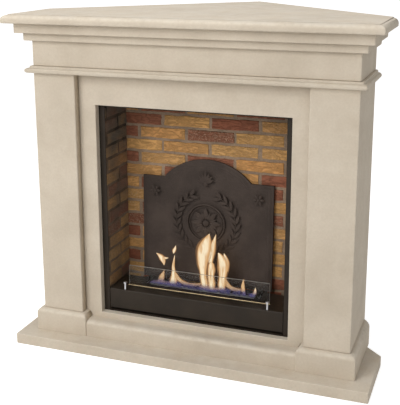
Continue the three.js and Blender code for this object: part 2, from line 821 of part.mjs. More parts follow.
function buildTank() {
  const w = TANK_SHEET;
  const tankTop = DECK_TOP;
  const body = box(-TANK_HALF, TANK_FRONT, TANK_BOTTOM, TANK_HALF, TANK_REAR, tankTop);
  const inside = box(
    -TANK_HALF + w,
    TANK_FRONT + w,
    TANK_BOTTOM + w,
    TANK_HALF - w,
    TANK_REAR - w,
    tankTop + CLEARLY_PAST,
  );
  const ledges = [-1, 1].map((side) => {
    const outer = side * (TANK_HALF - w / 2);
    const inner = side * (TANK_HALF - w - SLIDE_LEDGE_WIDTH);
    return box(
      Math.min(outer, inner),
      TANK_FRONT + w / 2,
      SLIDE_LEDGE_TOP - SLIDE_LEDGE_SHEET,
      Math.max(outer, inner),
      TANK_REAR - w / 2,
      SLIDE_LEDGE_TOP,
    );
  });
  add('fuel_tank', join([cut(body, [inside]), ...ledges]), STAINLESS);

  const lidBottom = DECK_TOP + GAP;
  const lidPlan = roundedPlate(LID_HALF, LID_FRONT, LID_REAR, LID_CORNER);
  const lid = prism(lidPlan, lidBottom, lidBottom + LID_SHEET);
  const below = lidBottom - CLEARLY_PAST;
  const above = lidBottom + CLEARLY_PAST;
  const slot = box(-SLOT_HALF, SLOT_FRONT, below, SLOT_HALF, SLOT_REAR, above);
  const guides = [-KNOB_X, KNOB_X].map((x) => box(
    x - KNOB_SLOT_HALF,
    KNOB_SLOT_FRONT,
    below,
    x + KNOB_SLOT_HALF,
    KNOB_SLOT_REAR,
    above,
  ));
  add('tank_lid', cut(lid, [slot, ...guides]), BLACK_STEEL);

  const wadding = box(
    WADDING_END - TANK_HALF,
    TANK_FRONT + WADDING_SIDE,
    TANK_BOTTOM + w + GAP,
    TANK_HALF - WADDING_END,
    TANK_REAR - WADDING_SIDE,
    WADDING_TOP,
  );
  add('fibre_wadding', wadding, FIBRE);
}

function buildShutter() {
  const bottom = SLIDE_LEDGE_TOP + GAP;
  const top = bottom + SHUTTER_THICKNESS;
  const plan = roundedPlate(SHUTTER_HALF, SHUTTER_FRONT, SHUTTER_REAR, SHUTTER_CORNER);
  add('shutter_plate', prism(plan, bottom, top), STAINLESS);
  const knob = lathe([
    [0, top + GAP],
    [KNOB_STEM, top + GAP],
    [KNOB_STEM, KNOB_FOOT],
    [KNOB_RADIUS - KNOB_FOOT_BEVEL, KNOB_FOOT],
    [KNOB_RADIUS, KNOB_FOOT + KNOB_FOOT_BEVEL],
    [KNOB_RADIUS, KNOB_TOP - KNOB_TOP_BEVEL],
    [KNOB_RADIUS - KNOB_TOP_BEVEL, KNOB_TOP],
    [0, KNOB_TOP],
  ]);
  addPair('shutter_knob', knob.translate(KNOB_X, KNOB_Y, 0), BLACK_STEEL);
}

function buildGlass() {
  const foot = DECK_TOP + GAP;
  const w = CHANNEL_WALL;
  const front = GLASS_Y - CHANNEL_WIDTH / 2;
  const rear = GLASS_Y + CHANNEL_WIDTH / 2;
  const section = [
    [front, foot],
    [rear, foot],
    [rear, foot + CHANNEL_HEIGHT],
    [rear - w, foot + CHANNEL_HEIGHT],
    [rear - w, foot + w],
    [front + w, foot + w],
    [front + w, foot + CHANNEL_HEIGHT],
    [front, foot + CHANNEL_HEIGHT],
  ];
  add('glass_channel', run(section, -CHANNEL_HALF, CHANNEL_HALF), BLACK_STEEL);
  const half = GLASS_THICKNESS / 2;
  const glassFoot = foot + w + GAP;
  const glassTop = glassFoot + GLASS_HEIGHT;
  const outline = toShape(roundedPlate(GLASS_HALF, glassFoot, glassTop, GLASS_CORNER));
  add('glass_screen', slab(outline, GLASS_Y - half, GLASS_Y + half, GLASS_ARRIS), GLASS);
}

buildHearth();
buildPlinth();
buildPilasters();
buildFrame();
buildAstragal();
buildFrieze();
buildCornice();
buildShelf();
buildBattens();
buildAngles();
buildShell();
buildFeet();
buildBrickPanels();
buildFireback();
buildHousing();
buildTank();
buildShutter();
buildGlass();

export default root;
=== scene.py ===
"""Looks of the corner fireplace: stone, brickwork, cast plate, burner, flames and studio."""

import math
import random

import bmesh
import bpy
from mathutils import Matrix, Vector, noise


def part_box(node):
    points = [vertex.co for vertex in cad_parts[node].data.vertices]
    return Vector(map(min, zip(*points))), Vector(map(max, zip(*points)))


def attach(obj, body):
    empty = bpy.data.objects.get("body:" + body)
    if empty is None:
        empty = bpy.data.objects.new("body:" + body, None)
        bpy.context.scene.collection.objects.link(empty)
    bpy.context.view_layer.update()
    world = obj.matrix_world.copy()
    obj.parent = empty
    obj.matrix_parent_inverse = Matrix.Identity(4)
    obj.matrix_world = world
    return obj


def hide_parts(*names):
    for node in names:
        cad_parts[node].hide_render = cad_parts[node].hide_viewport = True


bl_info = {
    "name": "Corner fireplace",
    "version": (1, 0, 0),
    "blender": (4, 5, 0),
    "location": "3D View > Sidebar > Fireplace",
    "description": "Builds the visible pieces and finishes of a corner fireplace",
    "category": "Object",
}

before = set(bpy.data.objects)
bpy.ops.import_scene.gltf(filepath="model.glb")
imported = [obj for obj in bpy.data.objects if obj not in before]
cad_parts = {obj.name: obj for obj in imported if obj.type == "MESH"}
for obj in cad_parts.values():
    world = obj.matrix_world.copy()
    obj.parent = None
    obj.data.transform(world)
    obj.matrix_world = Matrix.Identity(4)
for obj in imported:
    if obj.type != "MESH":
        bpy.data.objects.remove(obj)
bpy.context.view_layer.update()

MM = 0.001

STONE_NODES = (
    "hearth_slab",
    "plinth_block_left",
    "plinth_block_right",
    "plinth_rail",
    "pilaster_left",
    "pilaster_right",
    "frame_panel",
    "astragal_moulding",
    "frieze_box",
    "cornice_lower_tier",
    "cornice_upper_tier",
    "mantel_shelf",
)


# ---------------------------------------------------------------- settings


def colour_property(name, description, default):
    """A colour that the user picks, as linear light."""
    return bpy.props.FloatVectorProperty(
        name=name, description=description, subtype="COLOR", size=3, min=0, max=1, default=default
    )


def length_property(name, description, default):
    """A length in metres."""
    return bpy.props.FloatProperty(
        name=name, description=description, default=default, min=0, unit="LENGTH", precision=4
    )


def number_property(name, description, default):
    """A number that isn't negative."""
    return bpy.props.FloatProperty(name=name, description=description, default=default, min=0)


class StoneLooks(bpy.types.PropertyGroup):
    """Colours of the cast stone."""

    body: colour_property("Stone", "Main colour of the stone", (0.612, 0.527, 0.418))
    cloud: colour_property("Clouding", "Darker patches in the stone", (0.520, 0.436, 0.333))
    arris: colour_property("Arrises", "Worn edges of the stone", (0.700, 0.624, 0.510))
    # This colour also paints the sheen of the upper faces, a painted reflection.
    dust_and_sheen: colour_property("Dust And Sheen", "Dust on the stone's upper faces", (0.69, 0.64, 0.56))


class BrickLooks(bpy.types.PropertyGroup):
    """Sizes and colours of the brickwork."""

    length: length_property("Brick length", "Length of a brick's face", 0.162)
    joint: length_property("Upright joint", "Width of the upright joints", 0.010)
    course: length_property("Course", "Height from one course to the next", 0.045)
    bed: length_property("Bed joint", "Height of the level joints", 0.009)
    ochre: colour_property("Ochre bricks", "Colour of the ochre bricks", (0.80, 0.445, 0.160))
    red: colour_property("Red bricks", "Colour of the red bricks", (0.40, 0.155, 0.086))
    sand: colour_property("Sand", "Flecks of sand on the bricks", (0.66, 0.50, 0.34))
    # The sooty colours also paint the shade on the dim side walls and at the top of the firebox.
    soot_and_shade: colour_property("Soot on bricks", "Colour of sooty bricks", (0.140, 0.118, 0.090))
    mortar: colour_property("Mortar", "Colour of the joints", (0.42, 0.30, 0.205))
    black: colour_property("Soot on mortar", "Colour of sooty joints", (0.040, 0.034, 0.026))


class MetalLooks(bpy.types.PropertyGroup):
    """Colours of the metals."""

    iron: colour_property("Cast plate", "Colour of the cast plate", (0.047, 0.0345, 0.0280))
    black: colour_property("Black steel", "Coating of the sheet steel", (0.0180, 0.0125, 0.0078))
    dust_and_sheen: colour_property("Dust And Sheen", "Dust on the steel's upper faces", (0.2, 0.19, 0.17))
    bright: colour_property("Stainless", "Colour of the stainless steel", (0.56, 0.56, 0.57))
    # A painted highlight: the warm glint of the flames along the glass channel's top.
    glint: colour_property("Glint", "Colour of steel rubbed bare", (0.86, 0.66, 0.38))
    zinc: colour_property("Zinc", "Colour of the galvanised fixings", (0.42, 0.43, 0.45))


class FlameLooks(bpy.types.PropertyGroup):
    """Colours of the flames."""

    core: colour_property("Flame core", "Colour of the brightest part", (1.0, 0.87, 0.62))
    body: colour_property("Flame body", "Colour between core and edge", (0.72, 0.40, 0.165))
    edge: colour_property("Flame edge", "Colour of the outer part", (0.30, 0.155, 0.070))
    base: colour_property("Flame base", "Colour of the flame at the slot", (0.078, 0.066, 0.165))


class StageLooks(bpy.types.PropertyGroup):
    """The floor's colour and the strength of the lamps."""

    floor: colour_property("Floor", "Colour of the floor", (0.82, 0.82, 0.82))
    key: number_property("Key lamp", "Power of the main lamp in watts", 98.0)
    top: number_property("Top lamp", "Power of the upper lamp in watts", 26.0)
    room: number_property("Room light", "Strength of the light from all round", 0.515)


# ---------------------------------------------------------------- shader groups


class Graph:
    """Short ways to add nodes to a tree. Results are sockets that other nodes take."""

    def __init__(self, tree):
        self.tree = tree

    def plug(self, value, socket):
        """Links a socket, or sets a plain value."""
        if isinstance(value, bpy.types.NodeSocket):
            self.tree.links.new(value, socket)
        else:
            socket.default_value = value

    def node(self, kind, settings=None, **inputs):
        """Adds a node and fills its inputs by name (underscores stand for spaces)."""
        node = self.tree.nodes.new(f"ShaderNode{kind}")
        for key, value in (settings or {}).items():
            setattr(node, key, value)
        for key, value in inputs.items():
            self.plug(value, node.inputs[key.replace("_", " ")])
        return node

    def math(self, operation, a, b=0.0):
        """One step of arithmetic."""
        node = self.node("Math", {"operation": operation})
        self.plug(a, node.inputs[0])
        self.plug(b, node.inputs[1])
        return node.outputs[0]

    def times(self, a, b):
        """The product of two values."""
        return self.math("MULTIPLY", a, b)

    def ramp(self, value, low, high, smooth=False):
        """0 up to the low value, 1 from the high one."""
        settings = {"interpolation_type": "SMOOTHSTEP"} if smooth else None
        return self.node("MapRange", settings, Value=value, From_Min=low, From_Max=high).outputs[0]

    def noise(self, space, scale, **inputs):
        """Cloudy noise about a half."""
        return self.node("TexNoise", Vector=space, Scale=scale, **inputs).outputs["Fac"]

    def space(self, stretch=(1.0, 1.0, 1.0)):
        """Object coordinates, stretched along the axes."""
        coordinates = self.node("TexCoord").outputs["Object"]
        return self.node("Mapping", Vector=coordinates, Scale=stretch).outputs["Vector"]

    def height(self, space):
        """The third coordinate."""
        return self.node("SeparateXYZ", Vector=space).outputs["Z"]

    def sight_ray(self):
        """1 for rays that see the background: the camera's, mirrored and through glass."""
        path = self.node("LightPath").outputs
        straight = self.math("MAXIMUM", path["Is Camera Ray"], path["Is Glossy Ray"])
        return self.math("MAXIMUM", straight, path["Is Transmission Ray"])


class Group(Graph):
    """A shader node group. A maker gives its outputs from its inputs."""

    def __init__(self, name, inputs, maker):
        super().__init__(bpy.data.node_groups.new(name, "ShaderNodeTree"))
        sockets = self.tree.interface
        for socket, default in inputs.items():
            kind = "NodeSocketVector" if isinstance(default, tuple) else "NodeSocketFloat"
            made = sockets.new_socket(name=socket, in_out="INPUT", socket_type=kind)
            made.default_value = default
        results = maker(self, *self.tree.nodes.new("NodeGroupInput").outputs[: len(inputs)])
        for socket in results:
            sockets.new_socket(name=socket, in_out="OUTPUT", socket_type="NodeSocketFloat")
        ends = self.tree.nodes.new("NodeGroupOutput").inputs
        for socket, result in results.items():
            self.plug(result, ends[socket])


def clouding(group, scale, detail_scale):
    """Slow and quick changes of tone over a surface."""
    space = group.space()
    slow = group.noise(space, scale, Detail=4.0, Roughness=0.6)
    quick = group.noise(space, detail_scale, Detail=3.0)
    return {"Tone": group.ramp(slow, 0.35, 0.68, True), "Fleck": group.ramp(quick, 0.35, 0.65)}


def edge_wear_and_highlight(group, breakup_scale):
    """A mask of the rounded edges, found from how far the surface turns off the main axes. It
    paints wear, and on the bricks and the iron a painted highlight too.
    """
    normal = group.node("NewGeometry").outputs["Normal"]
    split = group.node("SeparateXYZ", Vector=normal).outputs
    sizes = [group.math("ABSOLUTE", split[axis]) for axis in range(3)]
    largest = group.math("MAXIMUM", group.math("MAXIMUM", sizes[0], sizes[1]), sizes[2])
    turned = group.ramp(largest, 0.99, 0.80, True)
    patches = group.ramp(group.noise(group.space(), breakup_scale, Detail=3.0), 0.3, 0.6)
    return {"Edge": group.times(turned, patches)}


def surface_grain(group, pit_scale, wave_scale):
    """Fine unevenness for a bump: pits and a soft wave."""
    space = group.space()
    pits = group.noise(space, pit_scale, Detail=4.0)
    wave = group.noise(space, wave_scale, Detail=2.0)
    return {"Height": group.math("ADD", pits, group.times(wave, 1.6))}


def dust_and_sheen(group, amount):
    """A mask of faces that look up: the dust that settles there, and a painted sheen."""
    facing = group.ramp(group.height(group.node("NewGeometry").outputs["Normal"]), 0.5, 0.95)
    patches = group.ramp(group.noise(group.space(), 14.0, Detail=5.0), 0.35, 0.7)
    return {"Mask": group.times(group.times(facing, patches), amount)}


def soot_and_shade(group, amount):
    """A mask of soot and painted shade: cloudy, and thicker towards the top of the firebox, where
    the painted shade is deepest.
    """
    space = group.space()
    rise = group.ramp(group.height(space), 0.45, 0.85)
    cloud = group.ramp(group.noise(space, 11.0, Detail=5.0), 0.35, 0.65)
    low = group.math("ADD", group.times(cloud, 0.6), 0.45)
    thick = group.math("ADD", low, group.times(rise, 0.55))
    return {"Mask": group.math("MINIMUM", group.times(thick, amount), 1.0)}


def clay_folds(group, scale):
    """The folds that a mould leaves in soft clay, run along the courses."""
    space = group.space((0.45, 0.45, 1.3))
    folds = group.noise(space, scale, Detail=6.0, Roughness=0.62, Distortion=1.6)
    line = group.math("ABSOLUTE", group.math("SUBTRACT", folds, 0.5))
    sharp = group.ramp(line, 0.0, 0.09)
    height = group.math("ADD", group.times(folds, 1.5), group.times(sharp, 0.35))
    return {"Fold": group.math("SUBTRACT", 1.0, sharp), "Height": height}


def brushed_lines(group, stretch):
    """Fine lines that run across the stretched axes."""
    return {"Line": group.noise(group.space(stretch), 60.0, Detail=3.0)}


def gas_streaks(group, scale):
    """Upright streaks of burning gas."""
    gas = group.noise(group.space((1.0, 1.0, 0.14)), scale, Detail=2.0)
    return {"Streak": group.ramp(gas, 0.36, 0.64)}


# Each effect's inputs with their defaults, and its maker.
EFFECTS = {
    "Clouding": ({"Scale": 5.0, "Detail Scale": 60.0}, clouding),
    "Edge Wear And Highlight": ({"Breakup Scale": 40.0}, edge_wear_and_highlight),
    "Surface Grain": ({"Pit Scale": 300.0, "Wave Scale": 30.0}, surface_grain),
    "Dust And Sheen": ({"Amount": 0.5}, dust_and_sheen),
    "Soot And Shade": ({"Amount": 0.5}, soot_and_shade),
    "Clay Folds": ({"Scale": 45.0}, clay_folds),
    "Brushed Lines": ({"Stretch": (1.0, 1.0, 1.0)}, brushed_lines),
    "Gas Streaks": ({"Scale": 120.0}, gas_streaks),
}


# ---------------------------------------------------------------- materials


def rgba(value):
    """A colour with its alpha. Sockets and numbers stay as they are."""
    return (*value, 1.0) if hasattr(value, "__len__") and len(value) == 3 else value


def toned(colour, share):
    """A colour with its light multiplied."""
    return tuple(channel * share for channel in colour)


class Finish(Graph):
    """A material being built round one Principled shader."""

    def __init__(self, name, roughness, metallic=0.0, specular=0.5):
        self.material = bpy.data.materials.new(name)
        self.material.use_nodes = True
        super().__init__(self.material.node_tree)
        self.shader = self.tree.nodes["Principled BSDF"]
        self.set("Roughness", roughness)
        self.set("Metallic", metallic)
        self.set("Specular IOR Level", specular)

    def set(self, socket, value):
        """Sets or links an input of the shader."""
        self.plug(rgba(value), self.shader.inputs[socket])

    def effect(self, name, **inputs):
        """Adds one of the shared effects and returns its outputs."""
        tree = bpy.data.node_groups.get(name) or Group(name, *EFFECTS[name]).tree
        return self.node("Group", {"node_tree": tree}, **inputs).outputs

    def clouding(self, scale, detail):
        """Slow and quick changes of tone, as two masks."""
        made = self.effect("Clouding", Scale=scale, Detail_Scale=detail)
        return made["Tone"], made["Fleck"]

    def wear_and_highlight(self, scale):
        """A mask of the rounded edges, for wear and for painted highlights."""
        return self.effect("Edge Wear And Highlight", Breakup_Scale=scale)["Edge"]

    def mix(self, factor, a, b):
        """Blends two colours."""
        node = self.node("Mix", {"data_type": "RGBA"}, Factor=factor)
        self.plug(rgba(a), node.inputs[6])
        self.plug(rgba(b), node.inputs[7])
        return node.outputs[2]

    def paint(self, base, *layers):
        """Sets the base colour. Each layer is a colour, its mask and often its share."""
        for colour, mask, *share in layers:
            base = self.mix(self.times(mask, *share) if share else mask, base, colour)
        self.set("Base Color", base)

    def between(self, mask, low, high):
        """Maps a mask from 0 and 1 to two numbers."""
        return self.node("MapRange", Value=mask, To_Min=low, To_Max=high).outputs[0]

    def rough(self, mask, low, high):
        """Roughness that follows a mask."""
        self.set("Roughness", self.between(mask, low, high))

    def attribute(self, name):
        """The channels of one of the piece's own colour attributes."""
        colour = self.node("VertexColor", {"layer_name": name}).outputs["Color"]
        return self.node("SeparateColor", Color=colour).outputs

    def bump(self, height, depth):
        """Turns a height into the shader's normal. depth is in metres."""
        node = self.node("Bump", Height=height, Distance=depth, Strength=1.0)
        self.set("Normal", node.outputs["Normal"])

    def grain(self, pits, waves, depth):
        """A fine unevenness all over."""
        grain = self.effect("Surface Grain", Pit_Scale=pits, Wave_Scale=waves)["Height"]
        self.bump(grain, depth)
        return grain


def stone_finish(looks):
    """Pale cast stone with soft clouding, faint stains, lighter worn arrises, and dust with a
    painted sheen on its upper faces.
    """
    finish = Finish("Cast stone", 0.8, specular=0.28)
    tone, fleck = finish.clouding(7.0, 150.0)
    wide_tone, wide_fleck = finish.clouding(2.2, 28.0)
    finish.paint(
        looks.body,
        (looks.cloud, tone, 0.5),
        (looks.arris, wide_fleck, 0.36),
        (toned(looks.cloud, 0.8), finish.times(wide_tone, tone), 0.26),
        (toned(looks.cloud, 0.75), fleck, 0.12),
        (looks.arris, finish.wear_and_highlight(55.0), 0.6),
        # Dust on the upper faces, paler and greyer, also as a painted sheen.
        (looks.dust_and_sheen, finish.effect("Dust And Sheen", Amount=0.45)["Mask"]),
    )
    finish.rough(fleck, 0.72, 0.88)
    finish.grain(700.0, 60.0, 0.0006)
    return finish.material


def brick_finish(name, looks, colour, specks, soot_and_shade):
    """Hand-made brick: each one of its own tone, folded, flecked with sand, sooted and darkened by
    painted shade.
    """
    finish = Finish(name, 0.92, specular=0.25)
    shade = toned(colour, 0.5)
    burnt = (colour[0] * 0.78, colour[1] * 0.58, colour[2] * 0.55)
    own = finish.attribute("tone")
    tone, fleck = finish.clouding(22.0, 330.0)
    folds = finish.effect("Clay Folds", Scale=48.0)
    sandy = finish.times(finish.ramp(own["Red"], 0.55, 0.9), specks)
    finish.paint(
        colour,
        (burnt, own["Green"], 0.75),
        (shade, own["Red"], 0.45),
        (shade, tone, 0.35),
        (toned(shade, 0.5), folds["Fold"], 0.42),
        (looks.sand, finish.times(finish.ramp(fleck, 0.68, 0.95), sandy)),
        # Soot with painted shade: heaviest on the left wall and towards the top of the firebox.
        (looks.soot_and_shade, finish.effect("Soot And Shade", Amount=soot_and_shade)["Mask"]),
        # Rounded edges in a dull brick colour over the soot: a painted highlight on the sooty
        # walls, a darker edge on the clean wall.
        (toned(colour, 0.55), finish.wear_and_highlight(120.0), 0.35),
    )
    finish.bump(folds["Height"], 0.0035)
    return finish.material


def mortar_finish(name, looks, soot_and_shade):
    """Sandy mortar, sooted and darkened by painted shade."""
    finish = Finish(name, 0.95, specular=0.2)
    tone, fleck = finish.clouding(14.0, 320.0)
    finish.paint(
        looks.mortar,
        (toned(looks.mortar, 0.7), tone),
        (toned(looks.mortar, 0.4), fleck, 0.3),
        # Soot on the joints, with painted shade like the bricks'.
        (looks.black, finish.effect("Soot And Shade", Amount=soot_and_shade)["Mask"]),
    )
    finish.grain(520.0, 90.0, 0.003)
    return finish.material


def iron_finish(colour):
    """Sand-cast iron, blackened, a little paler on the highest edges: partly wear, partly a
    painted highlight.
    """
    finish = Finish("Cast iron", 0.7, specular=0.18)
    tone, fleck = finish.clouding(9.0, 260.0)
    wear_and_highlight = finish.wear_and_highlight(70.0)
    finish.paint(colour, (toned(colour, 1.7), tone, 0.6), (toned(colour, 2.2), wear_and_highlight, 0.2))
    finish.rough(fleck, 0.62, 0.82)
    finish.grain(520.0, 120.0, 0.0007)
    return finish.material


def black_steel_finish(looks):
    """Sheet steel with a fine black coating. Every piece that has it shares one material."""
    name = "Black steel"
    if name in bpy.data.materials:
        return bpy.data.materials[name]
    finish = Finish(name, 0.5, specular=0.2)
    tone, fleck = finish.clouding(7.0, 420.0)
    dust_and_sheen = finish.effect("Dust And Sheen", Amount=0.05)["Mask"]
    finish.paint(looks.black, (toned(looks.black, 1.8), tone, 0.6), (looks.dust_and_sheen, dust_and_sheen))
    finish.rough(fleck, 0.42, 0.58)
    finish.grain(1300.0, 25.0, 0.00015)
    return finish.material


def bright_steel_finish(name, colour, stretch):
    """Brushed metal, its lines across the given stretch of the object's axes."""
    finish = Finish(name, 0.3, metallic=1.0)
    lines = finish.effect("Brushed Lines", Stretch=stretch)["Line"]
    tone, _ = finish.clouding(12.0, 120.0)
    finish.paint(toned(colour, 0.8), (colour, lines), (toned(colour, 0.7), tone, 0.25))
    finish.rough(lines, 0.24, 0.42)
    finish.bump(lines, 0.00008)
    return finish.material


def threaded_finish(name, roughness, stretch, scale, dark, pale, depth, **noise_inputs):
    """Fibres that run along the axes that the stretch leaves short."""
    finish = Finish(name, roughness)
    fibres = finish.noise(finish.space(stretch), scale, **noise_inputs)
    finish.paint(dark, (pale, fibres))
    finish.bump(fibres, depth)
    return finish.material


def glass_finish():
    """Clear heat-resistant glass with faint smears."""
    finish = Finish("Clear glass", 0.02, specular=0.03)
    finish.set("Base Color", (0.96, 0.98, 0.98))
    finish.set("Transmission Weight", 1.0)
    finish.set("IOR", 1.45)
    finish.set("Specular Tint", (0.12, 0.12, 0.12))
    finish.rough(finish.clouding(9.0, 60.0)[0], 0.0, 0.02)
    return finish.material


def ground_edge_finish():
    """The ground edge of the glass, which scatters the light."""
    finish = Finish("Ground glass edge", 0.45)
    finish.set("Transmission Weight", 0.5)
    grain = finish.grain(900.0, 200.0, 0.0002)
    finish.paint((0.34, 0.32, 0.28), ((0.56, 0.54, 0.49), grain))
    return finish.material


# ---------------------------------------------------------------- mesh helpers


def once(items):
    """The items in their order, each one once."""
    return list(dict.fromkeys(items))


def only(kind, items):
    """The items of one kind."""
    return [item for item in items if isinstance(item, kind)]


def box_of(node):
    """The low and the high corner of a CAD node."""
    return [Vector(corner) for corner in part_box(node)]


def put_in_scene(name, data):
    """Makes an object and links it to the scene."""
    obj = bpy.data.objects.new(name, data)
    bpy.context.scene.collection.objects.link(obj)
    return obj


def mesh_object(name, bm, materials):
    """Turns a bmesh in metres into an object."""
    mesh = bpy.data.meshes.new(name)
    bm.to_mesh(mesh)
    bm.free()
    for material in materials:
        mesh.materials.append(material)
    return put_in_scene(name, mesh)


def finish_piece(name, bm, materials, body, node=None, smooth=True):
    """Turns a bmesh into a piece that rides on a body and may stand for a CAD node."""
    piece = mesh_object(name, bm, materials)
    if smooth:
        piece.data.shade_smooth()
        piece.data.set_sharp_from_angle(angle=math.radians(38))
        flatter = piece.modifiers.new("flat_faces", "WEIGHTED_NORMAL")
        flatter.keep_sharp = True
    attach(piece, body)
    if node:
        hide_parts(node)


def merged_copy(node):
    """A node's mesh as a bmesh, with its loose triangles joined up."""
    bm = bmesh.new()
    bm.from_mesh(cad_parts[node].data)
    bmesh.ops.remove_doubles(bm, verts=bm.verts, dist=0.00001)
    flat = math.radians(0.5)
    bmesh.ops.dissolve_limit(bm, angle_limit=flat, verts=bm.verts, edges=bm.edges)
    return bm


def round_edges(bm, edges, radius):
    """Rounds edges with two segments."""
    bmesh.ops.bevel(
        bm, geom=edges, offset=radius, affect="EDGES", segments=2, profile=0.5, material=-1
    )


def refinish(nodes, material):
    """Gives CAD nodes a better material."""
    for node in nodes:
        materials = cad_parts[node].data.materials
        materials.clear()
        materials.append(material)


# ---------------------------------------------------------------- operators


class FIREPLACE_OT_stone(bpy.types.Operator):
    """Smooth the stone castings' mouldings and give them their finish"""

    bl_idname = "fireplace.stone"
    bl_label = "Stone castings"

    def execute(self, context):
        stone = stone_finish(context.scene.fireplace_stone)
        for node in STONE_NODES:
            finish_piece(f"{node}_dressed", merged_copy(node), [stone], "body", node)
        return {"FINISHED"}


class FIREPLACE_OT_brickwork(bpy.types.Operator):
    """Lay the worn bricks of the firebox in their mortar beds"""

    bl_idname = "fireplace.brickwork"
    bl_label = "Brickwork"

    EDGE = 0.0024
    RELIEF = 0.0030
    SLIP = 0.0018
    # Scale and reach of the slow and the quick waves that wear the bricks.
    SLOW = (38, 0.0024)
    QUICK = (150, 0.0010)
    # The furthest that wear sinks a face.
    SUNK = 0.0007
    # The noise's own seed, which is the time of day unless it is set.
    NOISE_SEED = 1
    # Each wall's turn in degrees, where its bond starts, its soot with painted shade and its seed.
    # The left wall's heavy soot is partly painted shade, as that wall faces away from the key
    # lamp.
    WALLS = {
        "back": (0, 0.5, 0.04, 757),
        "left": (90, 0.6, 0.76, 2),
        "right": (-90, 0.6, 0.48, 3),
    }

    def lay_panel(self, looks, length, bond, seed):
        """One wall: x along it, its face at y = 0, z from 0 at the top down."""
        rng = random.Random(seed)
        bm = bmesh.new()
        tone = bm.verts.layers.float_color.new("tone")
        pitch = looks.length + looks.joint
        for course in range(math.ceil(self.height / looks.course)):
            top = -course * looks.course - looks.bed / 2
            foot = max(-self.height, top - looks.course + looks.bed)
            if top - foot < looks.bed:
                continue
            shift = bond + (course % 2) * pitch / 2
            first = math.floor(-shift / pitch) - 1
            last = math.ceil((length - shift) / pitch) + 1
            for k in range(first, last + 1):
                middle = shift + k * pitch + rng.uniform(-self.SLIP, self.SLIP)
                left = max(0.0, middle - looks.length / 2)
                right = min(length, middle + looks.length / 2)
                if right - left < looks.joint:
                    continue
                red = course % 4 != 3 and (k + (course - 1) // 4 + self.swap) % 2 == 0
                deep = self.RELIEF + rng.uniform(0, 0.001)
                centre = Vector(((left + right) / 2, deep, (top + foot) / 2))
                size = Vector((right - left, self.RELIEF * 2, top - foot))
                place = Matrix.LocRotScale(centre, None, size)
                made = bmesh.ops.create_cube(bm, size=1.0, matrix=place)["verts"]
                for face in once(f for v in made for f in v.link_faces):
                    face.material_index = 2 if red else 1
                shade, burn = rng.random(), rng.random() ** 2
                for vert in made:
                    vert[tone] = (shade, burn, 0.0, 1.0)
        along = [e for e in bm.edges if abs(e.verts[0].co.x - e.verts[1].co.x) > looks.joint]
        bmesh.ops.subdivide_edges(bm, edges=along, cuts=9, use_grid_fill=True)
        upright = [e for e in bm.edges if abs(e.verts[0].co.z - e.verts[1].co.z) > looks.bed]
        bmesh.ops.subdivide_edges(bm, edges=upright, cuts=3, use_grid_fill=True)
        front = [
            e
            for e in bm.edges
            if max(v.co.y for v in e.verts) < self.RELIEF * 0.6 and e.calc_face_angle(0) > 1
        ]
        round_edges(bm, front, self.EDGE)
        self.wear(bm, length, seed)
        self.add_mortar(bm, length)
        return bm

    def wear(self, bm, length, seed):
        """Pushes the bricks' faces and outlines out of true."""
        for vert in bm.verts:
            slow = noise.noise_vector(vert.co * self.SLOW[0] + Vector((seed * 7.0, 0, 0)))
            quick = noise.noise_vector(vert.co * self.QUICK[0] + Vector((0, seed * 3.0, 0)))
            push = slow * self.SLOW[1] + quick * self.QUICK[1]
            vert.co += Vector((push.x, min(push.y, self.SUNK), push.z))
            vert.co.x = min(max(vert.co.x, 0.0), length)

    def add_mortar(self, bm, length):
        """The bed that the bricks are set in, with an uneven face."""
        squares = round(length / 0.006)
        bed = bmesh.ops.create_grid(bm, x_segments=squares, y_segments=120, size=0.5)["verts"]
        upright = Matrix.Rotation(math.radians(90), 4, "X")
        size = Matrix.Diagonal((length, 1.0, self.height, 1.0))
        place = Matrix.Translation((length / 2, self.RELIEF, -self.height / 2))
        bmesh.ops.transform(bm, matrix=place @ size @ upright, verts=bed)
        faces = once(f for v in bed for f in v.link_faces)
        rim = [e for f in faces for e in f.edges if e.is_boundary]
        grown = bmesh.ops.extrude_edge_only(bm, edges=rim)["geom"]
        deep = only(bmesh.types.BMVert, grown)
        bmesh.ops.translate(bm, vec=(0, self.thickness - self.RELIEF, 0), verts=deep)
        rear = once(e for v in deep for e in v.link_edges if e.is_boundary)
        bmesh.ops.holes_fill(bm, edges=rear, sides=0)
        for vert in bed:
            if 0 < vert.co.x < length and -self.height < vert.co.z < 0:
                smear = noise.noise(vert.co * 70) + 0.6 * noise.noise(vert.co * 210)
                vert.co.y -= 0.0005 + 0.0009 * smear
        for face in once(f for v in bed + deep for f in v.link_faces):
            face.material_index = 0
        bmesh.ops.recalc_face_normals(bm, faces=bm.faces)

    def execute(self, context):
        looks = context.scene.fireplace_brick
        noise.seed_set(self.NOISE_SEED)
        for side, (turn, bond, soot_and_shade, seed) in self.WALLS.items():
            node = f"brick_panel_{side}"
            low, high = box_of(node)
            size = high - low
            self.height = size.z
            self.swap = side != "back"
            length, self.thickness = (size.y, size.x) if turn else (size.x, size.y)
            start = Vector((high.x if turn > 0 else low.x, high.y if turn < 0 else low.y, high.z))
            bm = self.lay_panel(looks, length, length * bond, seed)
            place = Matrix.Translation(start) @ Matrix.Rotation(math.radians(turn), 4, "Z")
            bmesh.ops.transform(bm, matrix=place, verts=bm.verts)
            materials = [
                mortar_finish(f"Mortar {side}", looks, soot_and_shade),
                brick_finish(f"Ochre brick {side}", looks, looks.ochre, 0.35 + soot_and_shade / 2, soot_and_shade),
                brick_finish(f"Red brick {side}", looks, looks.red, 0.6, soot_and_shade),
            ]
            finish_piece(f"brickwork_{side}", bm, materials, "body", node)
        return {"FINISHED"}


